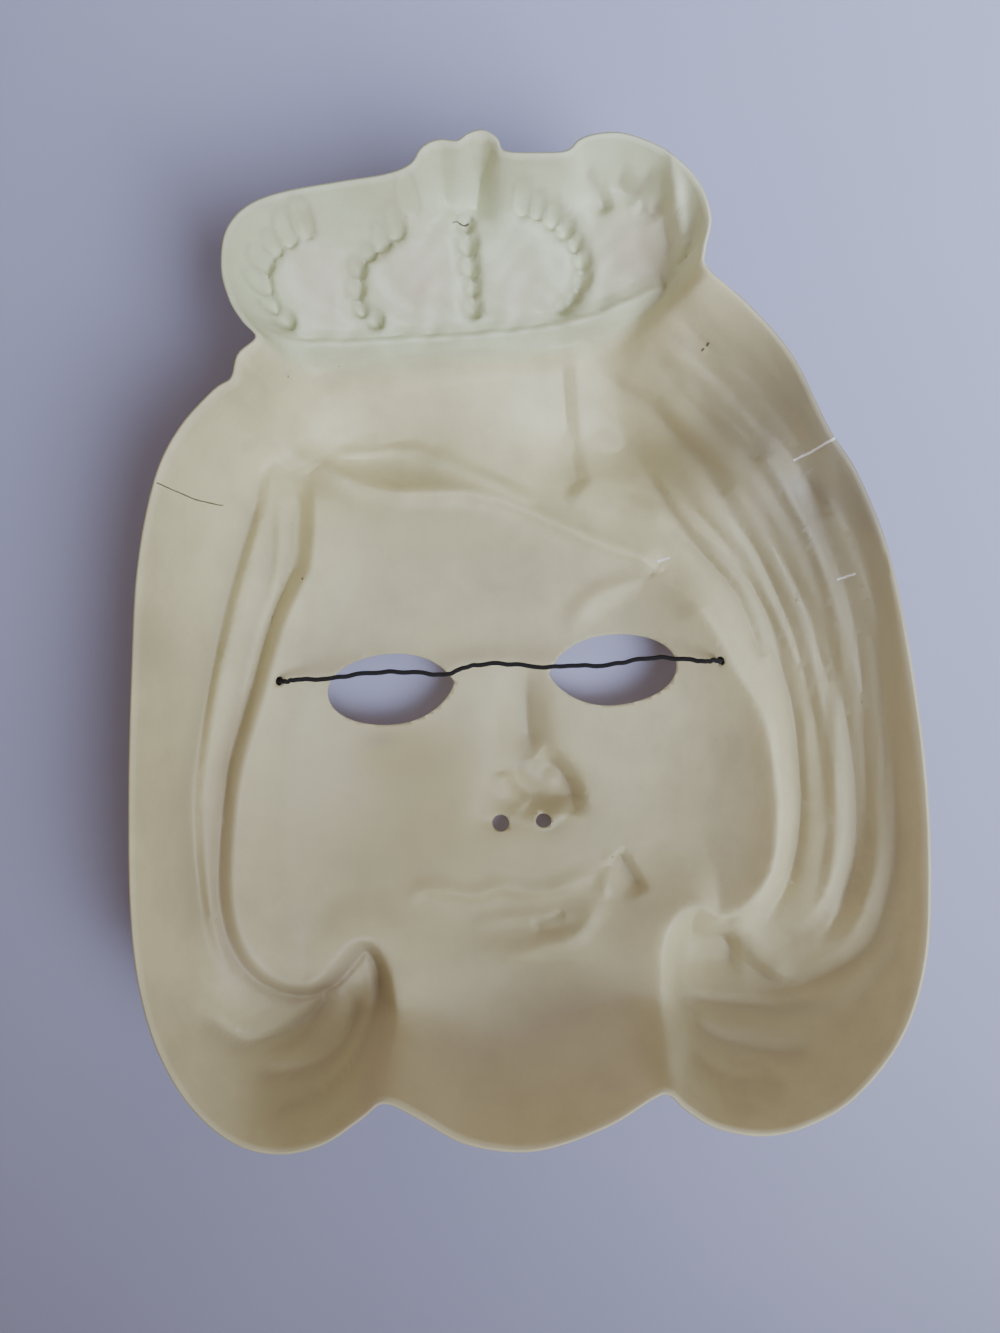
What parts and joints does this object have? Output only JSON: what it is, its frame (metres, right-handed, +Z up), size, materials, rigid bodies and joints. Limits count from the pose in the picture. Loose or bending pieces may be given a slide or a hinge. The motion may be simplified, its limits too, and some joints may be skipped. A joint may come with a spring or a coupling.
{
  "type": "fairy mask",
  "caption": "Child's thin formed plastic face mask with swept hair and a beaded crown, lying on its face, with a thin elastic strap across its hollow.",
  "frame": {"origin": "on the surface the mask lies on, below the middle of the rim's bounding box", "axes": "+Y from the chin to the crown, +Z up out of the hollow, +X to the right when looking down into the hollow"},
  "size_m": [0.2032, 0.2589, 0.056],
  "materials": {
    "formed_plastic": "aged ivory sheet, satin inside, airbrushed outside",
    "elastic_yarn": "fuzzy black covered elastic"
  },
  "bodies": {
    "root": {"mask_shell": "formed_plastic", "elastic_cord": "elastic_yarn", "elastic_knot_left": "elastic_yarn", "elastic_knot_right": "elastic_yarn"}
  },
  "joints": []
}
